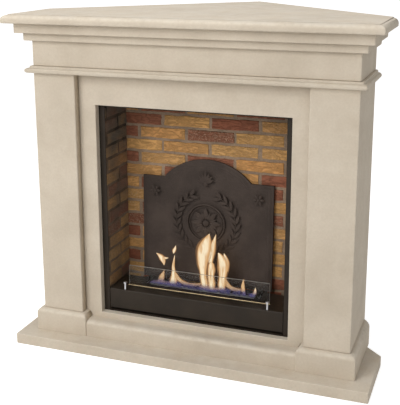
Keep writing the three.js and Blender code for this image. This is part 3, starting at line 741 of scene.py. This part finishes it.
class FIREPLACE_OT_fireback(bpy.types.Operator):
    """Cast the arched plate with its rim, wreath and rosettes"""

    bl_idname = "fireplace.fireback"
    bl_label = "Cast plate"

    THICKNESS = 0.008
    FIELD = 0.0022
    SINK = 0.0011
    # Insets and rises from the edge inwards: rim, step to the field, bead.
    PROFILE = (
        (0.009, 0.0),
        (0.002, -FIELD),
        (0.006, 0.0),
        (0.0013, 0.0012),
        (0.0022, 0.0),
        (0.0013, -0.0012),
    )
    MEDALLION = 0.218
    RING = 0.066
    WREATH = 0.106
    FLOWER_X = 0.184
    FLOWER_HEIGHTS = (0.050, 0.318)
    FAN = 0.358
    # Length, width and relief of each kind of leaf.
    LONG_PETAL = (0.042, 0.017, 0.0028)
    SHORT_PETAL = (0.030, 0.010, 0.0018)
    WREATH_LEAF = (0.034, 0.012, 0.0024)
    FLOWER_PETAL = (0.018, 0.010, 0.0022)

    def plate(self):
        """The plate: the back outline of the CAD plate, thickened, with a rim and a bead."""
        bm = merged_copy("fireback")
        back = max(bm.faces, key=lambda face: face.calc_area() if face.normal.y > 0.9 else 0)
        others = [face for face in bm.faces if face is not back]
        bmesh.ops.delete(bm, geom=others, context="FACES")
        loose = [vert for vert in bm.verts if not vert.link_faces]
        bmesh.ops.delete(bm, geom=loose, context="VERTS")
        back = bm.faces[:][0]
        self.lean = math.atan2(back.normal.z, back.normal.y)
        low = min((vert.co for vert in bm.verts), key=lambda co: co.z)
        middle = sum(vert.co.x for vert in bm.verts if vert.co.z < low.z + 0.001) / 2
        self.foot = Vector((middle, low.y, low.z))
        forward = -back.normal * self.THICKNESS
        grown = bmesh.ops.extrude_face_region(bm, geom=[back])["geom"]
        front = only(bmesh.types.BMFace, grown)
        corners = once(vert for face in front for vert in face.verts)
        bmesh.ops.translate(bm, vec=forward, verts=corners)
        for inset, rise in self.PROFILE:
            bmesh.ops.inset_region(
                bm, faces=front, thickness=inset, depth=rise, use_even_offset=True
            )
        bmesh.ops.recalc_face_normals(bm, faces=bm.faces)
        round_edges(bm, [e for e in bm.edges if e.calc_face_angle(0) > 1.2], 0.0012)
        return bm

    def settle(self, bm, verts):
        """Moves relief drawn round the plate's foot onto the leaning face."""
        depth = Matrix.Translation((0, self.FIELD + self.SINK - self.THICKNESS, 0))
        lean = Matrix.Rotation(-self.lean, 4, "X")
        place = Matrix.Translation(self.foot) @ lean @ depth
        bmesh.ops.transform(bm, matrix=place, verts=verts)

    def leaf(self, bm, size, centre, reach, angle, turn=None):
        """A pointed leaf with a sunk midrib, round a centre and turned out or as told."""
        length, width, relief = size
        made = bmesh.ops.create_uvsphere(bm, u_segments=12, v_segments=8, radius=1.0)["verts"]
        for vert in made:
            vert.co.z *= max(0.0, 1 - abs(vert.co.x) ** 1.7) ** 0.5
            rib = max(0.0, 1 - abs(vert.co.z) / 0.22)
            vert.co.y *= 1 - 0.35 * rib
        x, z = centre[0] + math.cos(angle) * reach, centre[1] + math.sin(angle) * reach
        scale = Matrix.Diagonal((length / 2, relief, width / 2, 1.0))
        round_y = Matrix.Rotation(-(angle if turn is None else turn), 4, "Y")
        place = Matrix.Translation((x, 0, z)) @ round_y @ scale
        bmesh.ops.transform(bm, matrix=place, verts=made)
        self.settle(bm, made)

    def boss(self, bm, radius, relief, x, z):
        """A round button."""
        made = bmesh.ops.create_uvsphere(bm, u_segments=20, v_segments=10, radius=radius)["verts"]
        bmesh.ops.scale(bm, vec=(1, relief / radius, 1), verts=made)
        bmesh.ops.translate(bm, vec=(x, 0, z), verts=made)
        self.settle(bm, made)

    def ring(self, bm, radius, bead, start=0.0, sweep=math.tau):
        """A round bead, or part of one, about the medallion's centre."""
        full = sweep >= math.tau
        aim = Matrix.Rotation(-start, 4, "Y") @ Matrix.Translation((radius, 0, 0))
        made = bmesh.ops.create_circle(bm, segments=10, radius=bead, matrix=aim)["verts"]
        edges = once(edge for vert in made for edge in vert.link_edges)
        before = set(bm.verts) - set(made)
        bmesh.ops.spin(
            bm,
            geom=edges + made,
            cent=(0, 0, 0),
            axis=(0, -1, 0),
            dvec=(0, 0, 0),
            angle=sweep,
            steps=72 if full else 28,
            use_merge=full,
        )
        swept = [vert for vert in bm.verts if vert not in before]
        ends = once(edge for vert in swept for edge in vert.link_edges if edge.is_boundary)
        if ends:
            bmesh.ops.holes_fill(bm, edges=ends, sides=0)
        bmesh.ops.translate(bm, vec=(0, 0, self.MEDALLION), verts=swept)
        self.settle(bm, swept)

    def rosette(self, bm):
        """The medallion: two rings, a boss, and long and short petals by turns."""
        self.ring(bm, self.RING, 0.0030)
        self.ring(bm, self.RING - 0.008, 0.0014)
        self.boss(bm, 0.011, 0.0042, 0, self.MEDALLION)
        for step in range(16):
            size = self.SHORT_PETAL if step % 2 else self.LONG_PETAL
            angle = step / 16 * math.tau
            self.leaf(bm, size, (0, self.MEDALLION), 0.012 + size[0] / 2, angle)

    def wreath(self, bm, side):
        """A stalk up one side of the medallion, with pairs of leaves."""
        self.ring(bm, self.WREATH, 0.0014, -1.25 if side > 0 else math.pi - 1.15, 2.4)
        for step in range(11):
            from_foot = -1.2 + step / 10 * 2.35
            angle = from_foot if side > 0 else math.pi - from_foot
            for splay, shift in ((0.5, -0.009), (-0.5, 0.009)):
                turn = angle + side * (math.pi / 2 + splay)
                reach = self.WREATH + shift
                self.leaf(bm, self.WREATH_LEAF, (0, self.MEDALLION), reach, angle, turn)

    def flower(self, bm, x, z):
        """A boss with six petals."""
        self.boss(bm, 0.0055, 0.0036, x, z)
        for step in range(6):
            self.leaf(bm, self.FLOWER_PETAL, (x, z), 0.012, step / 6 * math.tau)

    def fan(self, bm):
        """Seven leaves spread from a boss, at the head of the plate."""
        for step in range(-3, 4):
            size = (0.040 - abs(step) * 0.004, 0.010, 0.0022)
            angle = math.pi / 2 + step * 0.36
            self.leaf(bm, size, (0, self.FAN), size[0] / 2 + 0.004, angle)
        self.boss(bm, 0.008, 0.0032, 0, self.FAN - 0.002)

    def execute(self, context):
        bm = self.plate()
        self.rosette(bm)
        for side in (-1, 1):
            self.wreath(bm, side)
            for height in self.FLOWER_HEIGHTS:
                self.flower(bm, side * self.FLOWER_X, height)
        self.fan(bm)
        iron = iron_finish(context.scene.fireplace_metal.iron)
        finish_piece("fireback_casting", bm, [iron], "body", "fireback")
        return {"FINISHED"}


class FIREPLACE_OT_flames(bpy.types.Operator):
    """Light the spirit flames over the burner's slot"""

    bl_idname = "fireplace.flames"
    bl_label = "Flames"

    # Each tongue: its depth, then its centre line from root to tip, as x, z and half width.
    # All in millimetres, in the plane over the slot.
    TONGUES = {
        "tall": (0, (14, 196, 16), (8, 226, 15), (3, 258, 15), (2, 298, 25), (7, 336, 29),
            (18, 370, 19), (26, 397, 1)),
        "tall_tip": (4, (27, 288, 8), (32, 328, 14), (38, 358, 11), (44, 380, 5),
            (48, 396, 0.5)),
        "middle": (-5, (37, 198, 15), (36, 225, 15), (34, 250, 13), (35, 275, 15),
            (35, 292, 11), (35, 302, 1)),
        "right": (2, (70, 196, 17), (70, 225, 16), (72, 252, 16), (74, 282, 22), (70, 306, 19),
            (62, 324, 9), (56, 333, 1)),
        "right_tip": (6, (82, 268, 9), (84, 298, 12), (80, 318, 8), (75, 332, 0.5)),
        "left": (0, (-108, 196, 20), (-103, 213, 17), (-102, 236, 11), (-104, 264, 6.5),
            (-101, 290, 3.5), (-98, 307, 0.4)),
        "left_spark": (0, (-103, 311, 1), (-101, 321, 7), (-97, 330, 5.5), (-94, 341, 0.5)),
        "far_left": (3, (-156, 196, 13), (-151, 210, 13), (-145, 227, 9), (-138, 246, 0.5)),
        "torn": (5, (-168, 304, 0.5), (-159, 298, 6.5), (-148, 289, 12), (-142, 276, 9),
            (-140, 262, 0.5)),
        "torn_wing": (5, (-150, 290, 7), (-138, 289, 6), (-123, 291, 0.5)),
        "left_wisp": (-4, (-190, 198, 2), (-172, 202, 5), (-150, 204, 7), (-122, 203, 6),
            (-104, 200, 1)),
        "left_run": (-3, (-96, 246, 6), (-85, 226, 9), (-68, 214, 9), (-46, 209, 8),
            (-22, 211, 7.5), (2, 220, 1)),
        "low_run": (-6, (-10, 210, 4), (10, 205, 8), (32, 203, 9), (54, 206, 8), (74, 214, 1)),
        "right_run": (2, (79, 246, 6), (89, 226, 9.5), (104, 214, 9.5), (122, 211, 8.5),
            (138, 212, 6), (149, 213, 1)),
        "far_right": (0, (148, 196, 7), (146, 212, 7.5), (144, 230, 7), (147, 254, 0.5)),
        "end": (0, (170, 197, 3), (180, 202, 7), (186, 212, 6.5), (187, 229, 0.5)),
    }
    FAINT = ("left_wisp", "left_run", "low_run", "right_run", "far_left")
    SLOT_Y = -0.221
    FLATNESS = 0.42
    # Heights between which the blue of the slot gives way to the flame's own colours.
    BLUE = (0.197, 0.224)
    # The blue sheet over the slot: its half length, the height of its foot and its thickness.
    SHEET_REACH = 0.186
    SHEET_FOOT = 0.1945
    SHEET = 0.0015

    def centre_line(self, points, share):
        """A point on the smooth line through the given points, with the half width there."""
        last = len(points) - 1
        place = share * last
        index = min(int(place), last - 1)
        part = place - index
        a, b, c, d = (Vector(points[min(max(index + k, 0), last)]) for k in (-1, 0, 1, 2))
        return (
            b * 2
            + (c - a) * part
            + (a * 2 - b * 5 + c * 4 - d) * part**2
            + (b * 3 - a - c * 3 + d) * part**3
        ) / 2

    def tongue(self, bm, inward, points, depth, slim, strength):
        """One flame: a ball drawn out along its centre line."""
        made = bmesh.ops.create_uvsphere(bm, u_segments=16, v_segments=22, radius=1.0)["verts"]
        for vert in made:
            share = math.acos(max(-1.0, min(1.0, -vert.co.z))) / math.pi
            here = self.centre_line(points, share)
            ahead = self.centre_line(points, min(1.0, share + 0.02))
            behind = self.centre_line(points, max(0.0, share - 0.02))
            run = (ahead - behind).xy.normalized()
            out = vert.co.xy.normalized() if vert.co.xy.length > 1e-6 else Vector((0.0, 0.0))
            wave = noise.noise(Vector((share * 5, out.x * 1.5, depth + points[0][0])))
            half = max(0.0, here.z) * slim * (1 + 0.10 * wave)
            across, along = out.x * half, out.y * half * self.FLATNESS
            vert[inward] = (strength, 1 - abs(out.x), 0.0, 1.0)
            vert.co.x = (here.x + run.y * across) * MM
            vert.co.y = self.SLOT_Y + (depth + along) * MM
            vert.co.z = (here.y - run.x * across) * MM

    def build(self, name, slim, material):
        """All the tongues of one layer, as one piece."""
        bm = bmesh.new()
        inward = bm.verts.layers.float_color.new("inward")
        for tongue, (depth, *points) in self.TONGUES.items():
            strength = 0.3 if tongue in self.FAINT else 1.0
            self.tongue(bm, inward, points, depth, slim, strength)
        bmesh.ops.remove_doubles(bm, verts=bm.verts, dist=1e-7)
        bmesh.ops.recalc_face_normals(bm, faces=bm.faces)
        finish_piece(name, bm, [material], "tank")

    def gas_finish(self, name, scale, colour):
        """Gas that only glows. Gives the material and its streaks."""
        finish = Finish(name, 1.0, specular=0.0)
        finish.set("Base Color", (0.0, 0.0, 0.0))
        finish.set("Emission Color", colour)
        finish.set("Emission Strength", 1.0)
        return finish, finish.effect("Gas Streaks", Scale=scale)["Streak"]

    def flame_finish(self, name, looks, edge, core, thin, full, middle):
        """Glowing gas: blue at the slot, deeper at its edges and paler inside."""
        finish, streak = self.gas_finish(name, 120.0, looks.base)
        own = finish.attribute("inward")
        place = finish.node("TexCoord").outputs["Object"]
        risen = finish.ramp(finish.height(place), *self.BLUE, smooth=True)
        inner = finish.ramp(own["Green"], 0.0, 0.70, smooth=True)
        inner = finish.times(inner, finish.between(streak, 0.20, 1.60))
        inner = finish.times(inner, own["Red"])
        glow = finish.mix(inner, edge, core)
        finish.set("Emission Color", finish.mix(risen, looks.base, glow))
        dense = finish.between(streak, thin, full)
        dense = finish.times(dense, finish.between(inner, 1.0, middle))
        dense = finish.times(dense, finish.between(own["Red"], 0.35, 1.0))
        finish.set("Alpha", finish.times(dense, finish.between(risen, 0.5, 1.0)))
        return finish.material

    def blue_sheet(self, looks):
        """The low blue sheet that runs along the whole slot."""
        finish, streak = self.gas_finish("Flame foot", 70.0, looks.base)
        finish.set("Alpha", finish.between(streak, 0.0, 0.5))
        bm = bmesh.new()
        bmesh.ops.create_grid(bm, x_segments=90, y_segments=4, size=0.5)
        for vert in bm.verts:
            along, up = vert.co.x * 2, vert.co.y + 0.5
            swell = 0.55 + 0.45 * noise.noise(Vector((along * 7, 3.7, 0)))
            ends = (1 - along**6) ** 0.5 if abs(along) < 1 else 0.0
            bow = 0.002 + math.sin(up * math.pi) * 0.006 * ends
            ripple = 0.003 * noise.noise(Vector((along * 9, up * 2, 1.3)))
            vert.co.x = along * self.SHEET_REACH
            vert.co.y = self.SLOT_Y - bow + ripple
            vert.co.z = self.SHEET_FOOT + up * (0.006 + 0.018 * swell * ends)
        bmesh.ops.solidify(bm, geom=bm.faces[:], thickness=self.SHEET)
        bmesh.ops.recalc_face_normals(bm, faces=bm.faces)
        finish_piece("flame_foot", bm, [finish.material], "tank")

    def execute(self, context):
        looks = context.scene.fireplace_flame
        veil = self.flame_finish("Flame veil", looks, looks.edge, looks.body, 0.15, 0.62, 0.3)
        heart = self.flame_finish("Flame heart", looks, looks.body, looks.core, 0.85, 1.0, 1.0)
        self.build("flame_veil", 1.0, veil)
        self.build("flame_heart", 0.74, heart)
        self.blue_sheet(looks)
        return {"FINISHED"}


class FIREPLACE_OT_firebox(bpy.types.Operator):
    """Finish the firebox's steel, its feet and fixings"""

    bl_idname = "fireplace.firebox"
    bl_label = "Firebox"

    HEAD = 0.0045
    RISE = 0.0012
    # Insets and rises from the head's rim to the bottom of its socket.
    SOCKET = ((0.0011, 0.0007), (0.0011, 0.0003), (0.0001, -0.0012))
    REACH = 0.025
    ANGLE_SHEET = 0.004
    LUG_SHEET = 0.0025

    def screw(self, bm, place, axis):
        """A domed head with a round socket."""
        made = bmesh.ops.create_circle(bm, cap_ends=True, segments=18, radius=self.HEAD)["verts"]
        face = made[0].link_faces[0]
        if face.normal.z < 0:
            bmesh.ops.reverse_faces(bm, faces=[face])
        before = set(bm.verts) - set(made)
        grown = bmesh.ops.extrude_face_region(bm, geom=[face])["geom"]
        top = only(bmesh.types.BMFace, grown)
        bmesh.ops.translate(bm, vec=(0, 0, self.RISE), verts=top[0].verts)
        for inset, rise in self.SOCKET:
            bmesh.ops.inset_region(bm, faces=top, thickness=inset, depth=rise)
        verts = [vert for vert in bm.verts if vert not in before]
        turn = Vector(axis).to_track_quat("Z", "Y").to_matrix().to_4x4()
        bmesh.ops.transform(bm, matrix=Matrix.Translation(place) @ turn, verts=verts)

    def add_screws(self, material):
        """The screws that hold the steel angles and the firebox's lugs."""
        bm = bmesh.new()
        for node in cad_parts:
            if not node.startswith(("corner_angle", "shell_lug")):
                continue
            low, high = box_of(node)
            lug = node.startswith("shell_lug")
            sheet = self.LUG_SHEET if lug else self.ANGLE_SHEET
            side = 1 if node.endswith("right") else -1
            wall = high.x if side > 0 else low.x
            for share in (0.25, 0.75):
                z = low.z + (high.z - low.z) * share
                across = wall - side * self.REACH
                self.screw(bm, (across, low.y + sheet, z), (0, 1, 0))
                if not lug:
                    self.screw(bm, (wall - side * sheet, low.y + self.REACH, z), (-side, 0, 0))
        bmesh.ops.recalc_face_normals(bm, faces=bm.faces)
        finish_piece("fixing_screws", bm, [material], "body")

    def execute(self, context):
        looks = context.scene.fireplace_metal
        zinc = bright_steel_finish("Galvanised steel", looks.zinc, (1.0, 1.0, 4.0))
        dark, pale = (0.36, 0.22, 0.10), (0.55, 0.40, 0.22)
        rings = {"Detail": 5.0, "Distortion": 0.6}
        timber = threaded_finish(
            "Sawn softwood", 0.75, (2.0, 2.0, 60.0), 3.0, dark, pale, 0.0005, **rings
        )
        fixings = ("corner_angle", "shell_lug", "firebox_foot")
        sheets = ["firebox_shell", "fireback_ledge_left", "fireback_ledge_right"]
        refinish(sheets, black_steel_finish(looks))
        refinish([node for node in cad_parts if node.startswith(fixings)], zinc)
        refinish(["shelf_batten_left", "shelf_batten_right"], timber)
        self.add_screws(zinc)
        return {"FINISHED"}


class FIREPLACE_OT_burner(bpy.types.Operator):
    """Finish the burner housing, tank, shutter and glass screen"""

    bl_idname = "fireplace.burner"
    bl_label = "Burner"

    ACROSS = (0.2, 8.0, 8.0)

    def add_channel(self, black, colour):
        """The glass channel, the top of its front wall in a warm bright metal as a painted glint
        of the flames.
        """
        bm = merged_copy("glass_channel")
        top = max(vert.co.z for vert in bm.verts)
        long_edges = [
            edge
            for edge in bm.edges
            if edge.calc_length() > 0.1 and min(vert.co.z for vert in edge.verts) > top - 0.0001
        ]
        round_edges(bm, long_edges, 0.0006)
        middle = sum(vert.co.y for vert in bm.verts) / len(bm.verts)
        # The top of the front wall takes the painted glint.
        for face in bm.faces:
            place = face.calc_center_median()
            face.material_index = 1 if place.z > top - 0.0007 and place.y < middle else 0
        glint = bright_steel_finish("Glint steel", colour, self.ACROSS)
        materials = [black, glint]
        finish_piece(
            "glass_channel_glint", bm, materials, "burner", "glass_channel"
        )

    def add_screen(self):
        """The glass, clear on its two faces and ground at its edges."""
        bm = merged_copy("glass_screen")
        for face in bm.faces:
            face.material_index = 0 if abs(face.normal.y) > 0.9 else 1
        panes = [glass_finish(), ground_edge_finish()]
        finish_piece("glass_screen_clear", bm, panes, "glass", "glass_screen", False)

    def execute(self, context):
        looks = context.scene.fireplace_metal
        black = black_steel_finish(looks)
        turned = bright_steel_finish("Turned steel", looks.bright, (1.0, 1.0, 30.0))
        bright = bright_steel_finish("Stainless steel", looks.bright, self.ACROSS)
        refinish(["burner_housing", "tank_lid"], black)
        refinish(["fuel_tank", "shutter_plate"], bright)
        grey, white = (0.62, 0.60, 0.55), (0.85, 0.84, 0.80)
        fibre = threaded_finish(
            "Ceramic fibre", 0.97, (1.0, 3.0, 1.0), 170.0, grey, white, 0.002, Detail=6.0
        )
        refinish(["fibre_wadding"], fibre)
        self.add_channel(black, looks.glint)
        self.add_screen()
        turnings = {
            "lift_pin": (turned, "burner", "stainless"),
            "shutter_knob": (black, "shutter", "black_steel"),
        }
        for kind, (material, body, slot) in turnings.items():
            for node in (f"{kind}_left", f"{kind}_right"):
                piece = f"{node}_turned"
                finish_piece(piece, merged_copy(node), [material], body, node)
        return {"FINISHED"}


class FIREPLACE_OT_stage(bpy.types.Operator):
    """Set up the floor, the lamps and the camera"""

    bl_idname = "fireplace.stage"
    bl_label = "Floor, lamps and camera"

    # The fitted camera: focal length and middle row in pixels, turns in degrees, place in metres.
    FOCAL_PIXELS = 848.0
    CENTRE_Y = 150.0
    YAW = 20.040
    PITCH = 13.488
    ROLL = -0.201
    PLACE = (0.9117, -2.7368, 1.3217)
    IMAGE_HEIGHT = 405
    SENSOR = 36.0
    FLOOR_REACH = 30.0
    FLOOR_DROP = 0.0005
    # How much light of its own the floor shows to the rays that see the background.
    FLOOR_GLOW = 0.66
    # Each lamp's place, the point it faces and its size, in metres.
    KEY = ((-1.35, -3.9, 2.75), (0, 0, 0.45), 2.3)
    TOP = ((-0.3, -0.5, 3.6), (0, 0, 0.9), 1.6)

    def add_floor(self, looks):
        """A wide pale floor that looks white to the camera and keeps the shadow."""
        bm = bmesh.new()
        level = Matrix.Translation((0, 0, -self.FLOOR_DROP))
        bmesh.ops.create_grid(bm, size=self.FLOOR_REACH, x_segments=1, y_segments=1, matrix=level)
        finish = Finish("Studio floor", 0.9)
        finish.set("Base Color", looks.floor)
        finish.set("Emission Color", (1.0, 1.0, 1.0))
        finish.set("Emission Strength", finish.times(finish.sight_ray(), self.FLOOR_GLOW))
        mesh_object("studio_floor", bm, [finish.material])

    def add_lamp(self, name, place, target, size, power):
        """A square soft box that faces a point."""
        data = bpy.data.lights.new(name, "AREA")
        data.shape = "SQUARE"
        data.size = size
        data.energy = power
        aim = (Vector(target) - Vector(place)).to_track_quat("-Z", "Y").to_matrix().to_4x4()
        put_in_scene(name, data).matrix_world = Matrix.Translation(place) @ aim

    def add_room(self, strength):
        """Soft light from all round, white to the rays that see the background."""
        world = bpy.data.worlds.new("studio_room")
        world.use_nodes = True
        graph = Graph(world.node_tree)
        background = graph.tree.nodes["Background"].inputs
        background["Color"].default_value = (1.0, 1.0, 1.0, 1.0)
        lift = graph.times(graph.sight_ray(), 1.0 - strength)
        graph.plug(graph.math("ADD", lift, strength), background["Strength"])
        bpy.context.scene.world = world

    def add_camera(self):
        """The photograph's viewpoint, from a fit of the object's corners."""
        data = bpy.data.cameras.new("photo_camera")
        data.sensor_width = self.SENSOR
        data.lens = self.FOCAL_PIXELS / self.IMAGE_HEIGHT * self.SENSOR
        data.shift_y = (self.CENTRE_Y - self.IMAGE_HEIGHT / 2) / self.IMAGE_HEIGHT
        camera = put_in_scene("photo_camera", data)
        turn = (
            Matrix.Rotation(math.radians(self.YAW), 4, "Z")
            @ Matrix.Rotation(math.radians(90 - self.PITCH), 4, "X")
            @ Matrix.Rotation(math.radians(self.ROLL), 4, "Z")
        )
        camera.matrix_world = Matrix.Translation(self.PLACE) @ turn
        bpy.context.scene.camera = camera

    def execute(self, context):
        looks = context.scene.fireplace_stage
        self.add_floor(looks)
        self.add_lamp("key_softbox", *self.KEY, looks.key)
        self.add_lamp("top_softbox", *self.TOP, looks.top)
        self.add_room(looks.room)
        self.add_camera()
        context.scene.view_settings.view_transform = "Standard"
        return {"FINISHED"}


class FIREPLACE_PT_panel(bpy.types.Panel):
    """Lists the steps that build the fireplace"""

    bl_label = "Corner fireplace"
    bl_space_type = "VIEW_3D"
    bl_region_type = "UI"
    bl_category = "Fireplace"

    def draw(self, context):
        for operator in OPERATORS:
            self.layout.operator(operator.bl_idname)
        for holder in HOLDERS:
            group = getattr(context.scene, holder)
            box = self.layout.box()
            for key in group.bl_rna.properties.keys():
                if key not in ("rna_type", "name"):
                    box.prop(group, key)


HOLDERS = {
    "fireplace_stone": StoneLooks,
    "fireplace_brick": BrickLooks,
    "fireplace_metal": MetalLooks,
    "fireplace_flame": FlameLooks,
    "fireplace_stage": StageLooks,
}

OPERATORS = (
    FIREPLACE_OT_stage,
    FIREPLACE_OT_stone,
    FIREPLACE_OT_brickwork,
    FIREPLACE_OT_fireback,
    FIREPLACE_OT_firebox,
    FIREPLACE_OT_burner,
    FIREPLACE_OT_flames,
)


def register():
    """Registers the settings, the operators and the panel."""
    for holder, group in HOLDERS.items():
        bpy.utils.register_class(group)
        setattr(bpy.types.Scene, holder, bpy.props.PointerProperty(type=group))
    for operator in OPERATORS:
        bpy.utils.register_class(operator)
    bpy.utils.register_class(FIREPLACE_PT_panel)


def unregister():
    """Takes them away again."""
    bpy.utils.unregister_class(FIREPLACE_PT_panel)
    for operator in reversed(OPERATORS):
        bpy.utils.unregister_class(operator)
    for holder, group in HOLDERS.items():
        delattr(bpy.types.Scene, holder)
        bpy.utils.unregister_class(group)


def main():
    """Builds the whole scene in order."""
    register()
    for operator in OPERATORS:
        section, step = operator.bl_idname.split(".")
        getattr(getattr(bpy.ops, section), step)()


if __name__ == "__main__":
    main()
